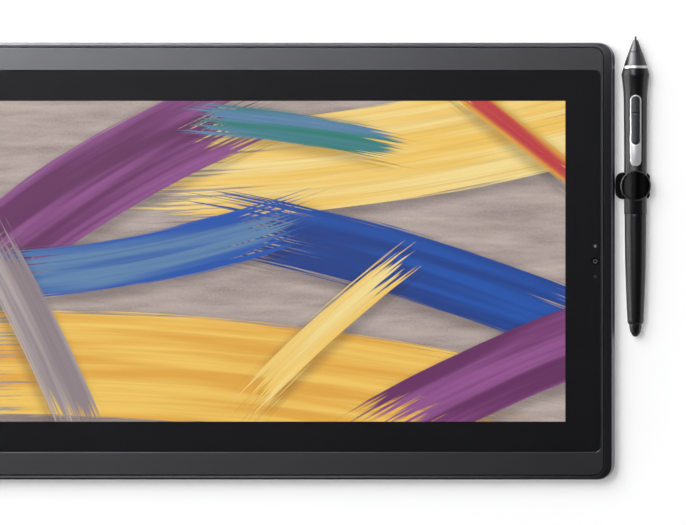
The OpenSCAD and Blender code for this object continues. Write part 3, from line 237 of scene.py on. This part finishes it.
SOLDER_MASK = srgb(24, 74, 46)
TIN = srgb(196, 196, 190)
TRACK_SCALE = 260
TRACK_WIDTH = 0.05
TRACK_TONE = 1.9
TRACK_HEIGHT = 2e-5
PATCH_TONE = 0.72
PAD_SCALE = 240
PAD_EDGE = (0.14, 0.2)


def circuit_board():
    """Solder mask with buried tracks and tinned pads."""
    look = Look("circuit_board", Metallic=0.0)
    lines = look.add("ShaderNodeTexBrick", offset=0.5, squash=1.0)
    lines.inputs["Scale"].default_value = TRACK_SCALE
    lines.inputs["Mortar Size"].default_value = TRACK_WIDTH
    lines.inputs["Color1"].default_value = SOLDER_MASK
    lines.inputs["Color2"].default_value = scaled(SOLDER_MASK, PATCH_TONE)
    lines.inputs["Mortar"].default_value = scaled(SOLDER_MASK, TRACK_TONE)
    look.link(look.place, lines.inputs["Vector"])
    dots = look.add("ShaderNodeTexVoronoi", feature="F1")
    dots.inputs["Scale"].default_value = PAD_SCALE
    look.link(look.place, dots.inputs["Vector"])
    pads = look.span(dots.outputs["Distance"], 1, 0, *PAD_EDGE)
    look.put("Base Color", look.mix(pads, lines.outputs["Color"], TIN))
    look.put("Roughness", look.span(look.noise(90), 0.3, 0.45))
    look.bump(lines.outputs["Fac"], TRACK_HEIGHT, strength=0.5)
    return look


# The camera looks out through a round window, where the glass keeps only a share of its roughness, and whose
# edge is a share of its radius wide to either hand. The last is the share of the light that meets the glass
WINDOW_RADIUS = 2.2 * MM
WINDOW_ROUGH = 0.1
WINDOW_EDGE = 0.05
GLASS_SHARE = 0.10


def clear_glass(camera_at):
    """Etched glass: a faint satin gloss over what lies behind it, polished over the camera."""
    look = Look("clear_glass", Base_Color=(0.01, 0.01, 0.012, 1), IOR=1.5)
    inner, outer = (1 - WINDOW_EDGE) * WINDOW_RADIUS, (1 + WINDOW_EDGE) * WINDOW_RADIUS
    etched = look.span(look.away_from(camera_at), WINDOW_ROUGH, 1, inner, outer)
    look.put("Roughness", look.math("MULTIPLY", look.span(look.noise(60), 0.26, 0.34), etched))
    look.bump(look.noise(5200, detail=1), 2e-7)
    look.see_through(GLASS_SHARE)
    return look


# The lens from its middle outwards, in shares of its radius, where the bright ring is a painted reflection,
# and what the lens keeps of its brightness at its top, as the painted reflection fades upwards
LENS_RADIUS = 1.6 * MM
LENS_RINGS_AND_REFLECTION = [(0.0, srgb(4, 4, 6)), (0.40, srgb(6, 6, 8)), (0.48, srgb(160, 162, 168)),
              (0.64, srgb(178, 180, 186)), (0.74, srgb(4, 4, 6))]
LENS_REFLECTION_TOP = 0.25


def lens_glass(centre):
    """Coated glass round a dark pupil, with a bright ring that is a painted reflection, brightest towards its
    bottom.
    """
    look = Look("lens", Roughness=0.12, IOR=1.6)
    share = look.math("MULTIPLY", look.away_from(centre), 1 / LENS_RADIUS)
    # Painted reflection: a bright ring, fading towards the lens's top
    rings = look.ramp(share, LENS_RINGS_AND_REFLECTION, "EASE")
    height = look.axes(look.place)["Y"]
    reflection_fade = look.span(height, 1, LENS_REFLECTION_TOP, centre.y - LENS_RADIUS, centre.y + LENS_RADIUS)
    look.put("Base Color", look.mix(1, rings, reflection_fade, "MULTIPLY"))
    look.bump(look.noise(900, detail=1), 1e-7)
    return look


def clear_dome(name, low, high):
    """Milky plastic over a lamp or a sensor, clouded from one colour to the other."""
    look = Look(name, IOR=1.49)
    look.put("Base Color", look.ramp(look.noise(900), [(0.3, low), (0.7, high)]))
    look.put("Roughness", look.span(look.noise(2400, detail=1), 0.2, 0.35))
    return look


YELLOW = srgb(252, 206, 98)
AMBER = srgb(236, 172, 62)
CREAM = srgb(255, 228, 150)
COBALT = srgb(20, 84, 178)
NAVY = srgb(14, 58, 138)
SKY = srgb(96, 136, 178)
PLUM = srgb(106, 42, 98)
MAUVE = srgb(152, 84, 148)
WARM_GREY = srgb(186, 173, 172)
DARK_GREY = srgb(146, 132, 138)
TEAL = srgb(24, 128, 110)
RED = srgb(200, 58, 66)
# The picture on the screen: broad brush strokes on paper, in the order in which they are laid. Each has the
# place of its middle, its turn in degrees, its half length, half width and bend, its paint and the paint of
# its streaks. Lengths are in millimetres, and places are counted from the middle of the lit area.
STROKES = [
    ((-30, -58), -5, 170, 27, 0.0004, YELLOW, AMBER),
    ((64, 58), 9, 150, 25, -0.0005, YELLOW, CREAM),
    ((-92, 44), 31, 92, 21, 0.0009, PLUM, MAUVE),
    ((78, -6), -17, 118, 17, 0.0005, COBALT, NAVY),
    ((-70, 2), 11, 88, 13, -0.0008, COBALT, SKY),
    ((116, -58), 24, 78, 18, 0.0007, PLUM, MAUVE),
    ((-128, -34), -64, 62, 11, 0.0004, DARK_GREY, WARM_GREY),
    ((6, 70), -8, 58, 8, 0.0006, TEAL, SKY),
    ((126, 66), -38, 44, 6, 0.0, RED, AMBER),
    ((24, -34), 42, 62, 8, 0.0008, CREAM, YELLOW),
]
SCREEN_GLOW = 1.08
# The paper under the strokes: broad streaks, and a share of pale fibres
PAPER_SCALE = 0.02
PAPER_STRETCH = (1, 7, 1)
FIBRE_SCALE = 0.9
FIBRE_SHARE = 0.18
# How far apart in the noise the strokes are, so that no two of them are alike
STROKE_STEP = 7.3
# Brush hairs and bands of paint in a stroke: long along it, fine across it
BRISTLE_STRETCH = (0.012, 0.85, 1)
BAND_STRETCH = (0.006, 0.11, 1)
# Where in their noise the streaks and the dark hairs start and are full, and how dark the hairs are
STREAK_RANGE = (0.36, 0.62)
HAIR_RANGE = (0.46, 0.74)
HAIR_SHARE = 0.5
HAIR_TONE = 0.66
# How ragged a stroke is: along its sides in millimetres, and along its ends as a share of its half length
RAGGED_SIDE = 1.6
RAGGED_END = 0.32
# How far a stroke's side fades, in millimetres to either hand
SIDE_FADE = 0.5
# Where a stroke and its shadow fade out along its length, as shares of its half length
PAINT_FADE = (0.74, 0.82)
SHADOW_FADE = (0.70, 0.95)
# How dark the shadow is, how far it is pushed down, and how far it reaches in and out over the stroke's side
SHADOW_SHARE = 0.38
SHADOW_DROP = 2.2
SHADOW_IN = 1
SHADOW_OUT = 6
SHADOW = scaled(PLUM, 0.12)


def brush_stroke(look, flat, under, number, stroke):
    """The picture so far, given as under, with one more stroke on it."""
    (middle_x, middle_y), turn, half_len, half_wide, bend, body, streak = stroke
    angle = math.radians(turn)
    along, across = math.cos(angle), math.sin(angle)
    shift_x = -(middle_x * along + middle_y * across)
    shift_y = middle_x * across - middle_y * along
    axes = look.axes(look.mapped(flat, location=(shift_x, shift_y, STROKE_STEP * number), turn=-angle))
    length = axes["X"]
    bow = look.math("MULTIPLY", look.math("MULTIPLY", length, length), bend)
    width = look.math("ADD", axes["Y"], bow)
    bent = look.add("ShaderNodeCombineXYZ")
    for axis, value in (("X", length), ("Y", width), ("Z", axes["Z"])):
        look.link(value, bent.inputs[axis])
    bristles = look.noise(1.0, detail=4, source=bent.outputs[0], rough=0.62, stretch=BRISTLE_STRETCH)
    bands = look.noise(1.0, detail=2, source=bent.outputs[0], rough=0.5, stretch=BAND_STRETCH)

    def fade(value, share, start, stop):
        return look.span(value, share, 0, start, stop, smooth=True)

    # Cover: ragged along both ends, nearly clean along both sides
    side = look.math("ADD", look.math("ABSOLUTE", width), look.span(bristles, -RAGGED_SIDE, RAGGED_SIDE))
    ragged = RAGGED_END * half_len
    end = look.math("ADD", look.math("ABSOLUTE", length), look.span(bristles, -ragged, ragged))
    paint_start, paint_stop = PAINT_FADE
    inside = look.math("MULTIPLY",
                       fade(side, 1, half_wide - SIDE_FADE, half_wide + SIDE_FADE),
                       fade(end, 1, paint_start * half_len, paint_stop * half_len))
    # A soft shadow where the thick paint stands over what is under it
    low = look.math("ABSOLUTE", look.math("ADD", width, SHADOW_DROP))
    shadow_start, shadow_stop = SHADOW_FADE
    shade = look.math("MULTIPLY",
                      fade(low, SHADOW_SHARE, half_wide - SHADOW_IN, half_wide + SHADOW_OUT),
                      fade(end, 1, shadow_start * half_len, shadow_stop * half_len))
    under = look.mix(shade, under, SHADOW)
    paint = look.mix(look.span(bands, 0, 1, *STREAK_RANGE, smooth=True), body, streak)
    paint = look.mix(look.span(bristles, 0, HAIR_SHARE, *HAIR_RANGE), paint, scaled(body, HAIR_TONE))
    return look.mix(inside, under, paint)


def painted_screen(centre):
    """The lit screen: streaked paper with all the strokes on it."""
    look = Look("screen", Base_Color=(0.004, 0.004, 0.005, 1), Roughness=0.5, Emission_Strength=SCREEN_GLOW)
    flat = look.mapped(look.place, scale=(1 / MM, 1 / MM, 0), location=(-centre.x / MM, -centre.y / MM, 0))
    paper = look.noise(PAPER_SCALE, detail=4, source=flat, rough=0.6, stretch=PAPER_STRETCH)
    fibres = look.noise(FIBRE_SCALE, detail=3, source=flat)
    picture = look.mix(look.span(paper, 0, 1), DARK_GREY, scaled(WARM_GREY, 1.06))
    picture = look.mix(look.span(fibres, 0, FIBRE_SHARE), picture, CREAM)
    for number, stroke in enumerate(STROKES):
        picture = brush_stroke(look, flat, picture, number, stroke)
    look.put("Emission Color", picture)
    return look


# Surfaces by name, with the depth of their grain in metres
GREY_PAINT = dict(colour=(0.135, 0.136, 0.146), rough=0.315, grain=5200, depth=2e-6, vary=0.05, swing=0.03,
                  Metallic=1.0)
FINISHES = {
    "shell": GREY_PAINT,
    "bezel": GREY_PAINT,
    "frame_metal": dict(colour=(0.62, 0.63, 0.65), rough=0.38, grain=900, depth=4e-6, stretch=(1, 14, 1),
                        Metallic=1.0),
    "black_plastic": dict(colour=(0.015, 0.015, 0.017), rough=0.46, grain=3400, depth=6e-6),
    "black_border": dict(colour=(0.0044, 0.0047, 0.0070), rough=0.38, grain=4200, depth=1e-6, vary=0.06,
                         Specular_IOR_Level=0.19),
    "white_film": dict(colour=(0.80, 0.80, 0.78), rough=0.5, grain=2600, depth=2e-6, vary=0.03),
    "key_plastic": dict(colour=(0.018, 0.018, 0.020), rough=0.5, grain=3000, depth=5e-6),
    "copper": dict(colour=(0.72, 0.38, 0.22), rough=0.32, grain=700, depth=5e-6, stretch=(12, 1, 1),
                   Metallic=1.0),
    "battery_wrap": dict(colour=(0.03, 0.03, 0.035), rough=0.34, grain=160, depth=3e-5, vary=0.2),
    "camera_well": dict(colour=(0.0008, 0.0008, 0.001), rough=0.5, grain=3400, depth=2e-6,
                        Specular_IOR_Level=0.1),
    "bright_metal": dict(colour=(0.70, 0.70, 0.72), rough=0.28, grain=1600, depth=3e-6, stretch=(1, 1, 9),
                         Metallic=1.0),
    "dark_steel": dict(colour=(0.10, 0.10, 0.11), rough=0.36, grain=2600, depth=4e-6, Metallic=0.9),
    "rubber": dict(colour=(0.02, 0.02, 0.02), rough=0.72, grain=2200, depth=1.2e-5),
    "soft_touch": dict(colour=(0.0015, 0.0015, 0.0018), rough=0.38, grain=4200, depth=3e-6,
                       Specular_IOR_Level=0.06),
    "nib": dict(colour=(0.02, 0.02, 0.022), rough=0.4, grain=3000, depth=2e-6),
    "pen_plastic": dict(colour=(0.006, 0.006, 0.007), rough=0.30, grain=4200, depth=2e-6,
                        Specular_IOR_Level=0.32),
    "lip": dict(colour=(0.004, 0.004, 0.0045), rough=0.34, grain=4200, depth=2e-6, Specular_IOR_Level=0.3),
    "rocker": dict(colour=(0.022, 0.023, 0.025), rough=0.42, grain=4200, depth=2e-6),
    "pen_nose": dict(colour=(0.03, 0.03, 0.033), rough=0.40, grain=4200, depth=2e-6, vary=0.05,
                     Specular_IOR_Level=0.5),
    "pen_silver": dict(colour=(0.62, 0.62, 0.64), rough=0.36, grain=2200, depth=2e-6, vary=0.06,
                       Metallic=0.35),
    "pen_rubber": dict(colour=(0.006, 0.006, 0.007), rough=0.32, grain=3600, depth=3e-6,
                       Specular_IOR_Level=0.32),
}
lens_low, lens_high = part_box("camera_lens")
lens_middle = (lens_low + lens_high) / 2
panel_low, panel_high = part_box("lcd_panel")
looks = {name: finish_of(name, **finish) for name, finish in FINISHES.items()}
shade_and_dull_groove(looks["rocker"])
looks["circuit_board"] = circuit_board()
looks["clear_glass"] = clear_glass(lens_middle)
looks["lens"] = lens_glass(lens_middle)
looks["lamp"] = clear_dome("lamp", srgb(142, 144, 150), srgb(184, 186, 192))
looks["sensor"] = clear_dome("sensor", srgb(70, 71, 76), srgb(84, 85, 90))
looks["screen"] = painted_screen((panel_low + panel_high) / 2)

# Pieces that look unlike the others of their slot
OWN_LOOKS = {"pen_rocker": "rocker", "light_sensor": "sensor", "front_camera": "camera_well"}
for part in frame["record"]["subparts"]:
    mesh = nodes[part["node"]].data
    mesh.materials.clear()
    mesh.materials.append(looks[OWN_LOOKS.get(part["node"], part["material_slot"])].material)


def new_piece(name, build, look, sharp):
    """An object from finished geometry, smooth but for the edges over the sharp angle in degrees."""
    bmesh.ops.recalc_face_normals(build, faces=build.faces)
    for face in build.faces:
        face.smooth = True
    mesh = bpy.data.meshes.new(name)
    build.to_mesh(mesh)
    build.free()
    mesh.set_sharp_from_angle(angle=math.radians(sharp))
    mesh.materials.append(look.material)
    piece = bpy.data.objects.new(name, mesh)
    scene.collection.objects.link(piece)
    return piece


# A fine raised edge round the holder's front petal: its section, from the outside inwards and back under, in
# millimetres in from the petal's edge and up from its surface, and how far the petal falls off to its sides
LIP_SECTION = [(-0.03, -0.05), (0.6, 0.55), (0.85, -0.05), (0.4, -0.3)]
LIP_STEPS = 120
LIP_SHARP = 30
PETAL_DROP = 3.4 * MM


def holder_lip():
    """The raised edge, as a ring that follows the petal's fall."""
    low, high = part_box("pen_holder")
    radius = (high.y - low.y) / 2
    middle = Vector((high.x - radius, (low.y + high.y) / 2, high.z))
    build = bmesh.new()
    rings = []
    for step in range(LIP_STEPS):
        angle = 2 * math.pi * step / LIP_STEPS
        ring = []
        for inward, up in LIP_SECTION:
            reach = radius - inward * MM
            x, y = reach * math.cos(angle), reach * math.sin(angle)
            z = up * MM - PETAL_DROP * (1 - math.cos(math.pi * x / radius)) / 2
            ring.append(build.verts.new(middle + Vector((x, y, z))))
        rings.append(ring)
    for ring, after in zip(rings, rings[1:] + rings[:1]):
        for i, corner in enumerate(ring):
            build.faces.new((ring[i - 1], corner, after[i], after[i - 1]))
    return new_piece("holder_lip", build, looks["lip"], LIP_SHARP)


lip = holder_lip()
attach(lip, "tablet")

# The pen's soft end is blunt: a short straight neck, then a round dome
DOME = 6.0 * MM
DOME_STEPS = 20
DOME_SHARP = 40
TURN_STEPS = 64


def eraser_dome():
    """The soft end, turned from its outline round the pen's axis."""
    low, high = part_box("pen_eraser")
    radius = (high.x - low.x) / 2
    axis_x, axis_z = (low.x + high.x) / 2, (low.z + high.z) / 2
    outline = [(0, high.y), (radius, high.y)]
    for step in range(DOME_STEPS + 1):
        angle = 0.5 * math.pi * step / DOME_STEPS
        outline.append((radius * math.cos(angle), low.y + DOME * (1 - math.sin(angle))))
    build = bmesh.new()
    corners = [build.verts.new((axis_x + reach, y, axis_z)) for reach, y in outline]
    edges = [build.edges.new(pair) for pair in zip(corners, corners[1:])]
    bmesh.ops.spin(build, geom=corners + edges, cent=(axis_x, 0, axis_z), axis=(0, 1, 0),
                   angle=2 * math.pi, steps=TURN_STEPS)
    bmesh.ops.remove_doubles(build, verts=build.verts, dist=1e-3 * MM)
    return new_piece("eraser_dome", build, looks["pen_plastic"], DOME_SHARP)


dome = eraser_dome()
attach(dome, "pen_eraser")
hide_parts("pen_eraser")

# Edges that the eye can meet are broken a little, by so many millimetres, so that they catch the light
EDGES = {
    0.25: ["front_bezel", "rubber_feet"],
    0.18: ["key_panel", "touch_ring", "home_button", "power_button", "volume_rocker",
           *[f"express_key_{i}" for i in range(1, 7)]],
    0.12: ["cover_glass", "pen_holder", "pen_cone", "pen_grip", "pen_barrel", "pen_ring", "pen_switch_frame",
           "pen_rocker", "case_screws", "usb_ports", "headphone_jack", "lock_sleeve", "card_slot",
           "holder_sockets"],
}
EDGE_ANGLE = 34
WELD_REACH = 2e-6


def break_edges(node, width):
    """Join a node's loose corners and bevel its sharp edges."""
    body = nodes[node]
    weld = body.modifiers.new("weld", "WELD")
    weld.merge_threshold = WELD_REACH
    bevel = body.modifiers.new("edge", "BEVEL")
    bevel.width = width * MM
    bevel.segments = 2
    bevel.limit_method = "ANGLE"
    bevel.angle_limit = math.radians(EDGE_ANGLE)
    bevel.harden_normals = True
    bevel.use_clamp_overlap = False


for width, names in EDGES.items():
    for name in names:
        break_edges(name, width)

# Camera: straight above, as far off as a long lens stands, over the part that the photograph shows
VIEW_CENTRE = (0.04115, -0.00065)
VIEW_WIDTH = 0.3591
FRONT_Z = 0.016
LENS_LENGTH = 900
SENSOR_WIDTH = 36
camera_data = bpy.data.cameras.new("camera")
camera_data.lens = LENS_LENGTH
camera_data.sensor_width = SENSOR_WIDTH
camera = bpy.data.objects.new("camera", camera_data)
camera.location = (*VIEW_CENTRE, FRONT_Z + VIEW_WIDTH * LENS_LENGTH / SENSOR_WIDTH)
scene.collection.objects.link(camera)
scene.camera = camera

STAGE_MIDDLE = (0.05, 0, 0)


def softbox(name, place, wide, high, watts, lights=True, mirrored=True, only=None, behind=None,
            aim=STAGE_MIDDLE):
    """A soft lamp that lights surfaces, is mirrored in glossy ones, or both. Only: the pieces that it is for,
    and behind: the pieces that keep its light off others; each is all pieces when it isn't given."""
    light = bpy.data.lights.new(name, "AREA")
    light.shape = "RECTANGLE"
    light.size = wide
    light.size_y = high
    light.energy = watts
    holder = bpy.data.objects.new(name, light)
    holder.location = place
    holder.rotation_euler = (Vector(aim) - Vector(place)).to_track_quat("-Z", "Y").to_euler()
    holder.visible_camera = False
    holder.visible_diffuse = lights
    holder.visible_glossy = mirrored
    holder.light_linking.receiver_collection = only
    holder.light_linking.blocker_collection = behind
    scene.collection.objects.link(holder)


def group_of(name, pieces):
    """A collection that a lamp can be linked to."""
    group = bpy.data.collections.new(name)
    for piece in pieces:
        group.objects.link(piece)
    return group


pen_pieces = group_of("pen_pieces", [lip, dome] + [
    nodes[name] for name in nodes if name.startswith("pen_") and name != "pen_cone"])
nose_pieces = group_of("nose_pieces", [nodes["pen_cone"]])
rim_pieces = group_of("rim_pieces", [nodes["rear_cover"]])
front_pieces = group_of("front_pieces", [lip, dome] + [
    nodes[name] for name in nodes if name != "rear_cover"])

# The light on everything comes from above on the left
softbox("key", (-1.08, 1.07, 3.0), wide=2.15, high=2.15, watts=45, mirrored=False)
softbox("top", (-0.42, 0.43, 3.0), wide=0.86, high=0.86, watts=34, mirrored=False)
# The other lamps only show as gloss: on the front, along the pen, on the rim's top, corner and bottom, and on
# the pen's cone
softbox("gloss", (-0.28, 0.454, 1.276), wide=0.493, high=0.493, watts=6.8, lights=False, only=front_pieces)
softbox("left", (-1.4, 0.5, 0.11), wide=2.4, high=0.2, watts=190, lights=False, only=pen_pieces,
        behind=pen_pieces, aim=(0.05, 0.5, 0))
softbox("right", (1.5, 0.0, 0.15), wide=1.2, high=0.25, watts=2.4, lights=False)
softbox("rim", (-0.40, 1.07, 1.17), wide=0.3, high=0.3, watts=11, lights=False)
softbox("top_edge", (-0.25, 0.30, 0.6), wide=0.7, high=0.1, watts=2.3, lights=False, only=rim_pieces,
        aim=(-0.25, 0.113, 0))
softbox("corner", (0.16, 0.127, 0.12), wide=0.1, high=0.02, watts=0.007, lights=False, only=rim_pieces,
        aim=(0.16, 0.127, 0))
softbox("bottom_edge", (-0.25, -0.20, 0.6), wide=0.7, high=0.1, watts=0.48, lights=False, only=rim_pieces,
        aim=(-0.25, -0.113, 0))
softbox("nose", (-1.0, 0.80, 0.62), wide=0.5, high=1.4, watts=66, lights=False, only=nose_pieces,
        aim=(0.19, 0.1, 0))


def shown_rays(look):
    """1 for the rays that see the background: straight, by reflection or through glass."""
    rays = look.add("ShaderNodeLightPath").outputs
    either = look.math("MAXIMUM", rays["Is Camera Ray"], rays["Is Glossy Ray"])
    return look.math("MAXIMUM", either, rays["Is Transmission Ray"])


# Floor: white to the camera and in reflections, and still shaded by the tablet
FLOOR_HALF = 8.0
FLOOR_Z = -0.0002
FLOOR_GLOW = 0.30
floor_mesh = bpy.data.meshes.new("floor")
floor_mesh.from_pydata(
    [(x * FLOOR_HALF, y * FLOOR_HALF, FLOOR_Z) for x, y in ((-1, -1), (1, -1), (1, 1), (-1, 1))], [],
    [(0, 1, 2, 3)])
floor = bpy.data.objects.new("floor", floor_mesh)
scene.collection.objects.link(floor)
ground = Look("floor", Base_Color=(0.92, 0.92, 0.92, 1), Roughness=0.9, Emission_Color=(1, 1, 1, 1),
              Specular_IOR_Level=0.0)
ground.put("Emission Strength", ground.math("MULTIPLY", shown_rays(ground), FLOOR_GLOW))
floor_mesh.materials.append(ground.material)

# The room: bright near the floor, dark overhead, and on the right only a share as bright as on the left
HORIZON = (1.4, 1.4, 1.4, 1)
OVERHEAD = (0.013, 0.013, 0.015, 1)
HORIZON_STOP = 0.02
OVERHEAD_STOP = 0.70
RIGHT_SHARE = 0.35
world = bpy.data.worlds.new("studio")
scene.world = world
world.use_nodes = True
sky = world.node_tree
sky.nodes.clear()
direction = sky.nodes.new("ShaderNodeTexCoord")
upward = sky.nodes.new("ShaderNodeSeparateXYZ")
sky.links.new(direction.outputs["Generated"], upward.inputs[0])
fade = sky.nodes.new("ShaderNodeValToRGB")
fade.color_ramp.elements[0].position = HORIZON_STOP
fade.color_ramp.elements[0].color = HORIZON
fade.color_ramp.elements[1].position = OVERHEAD_STOP
fade.color_ramp.elements[1].color = OVERHEAD
sky.links.new(upward.outputs["Z"], fade.inputs[0])
sideways = sky.nodes.new("ShaderNodeMapRange")
sky.links.new(upward.outputs["X"], sideways.inputs["Value"])
for socket, number in (("From Min", -1), ("From Max", 1), ("To Min", 1), ("To Max", RIGHT_SHARE)):
    sideways.inputs[socket].default_value = number
shine = sky.nodes.new("ShaderNodeBackground")
sky.links.new(fade.outputs["Color"], shine.inputs["Color"])
sky.links.new(sideways.outputs[0], shine.inputs["Strength"])
sky_out = sky.nodes.new("ShaderNodeOutputWorld")
sky.links.new(shine.outputs[0], sky_out.inputs["Surface"])

scene.view_settings.view_transform = "Standard"
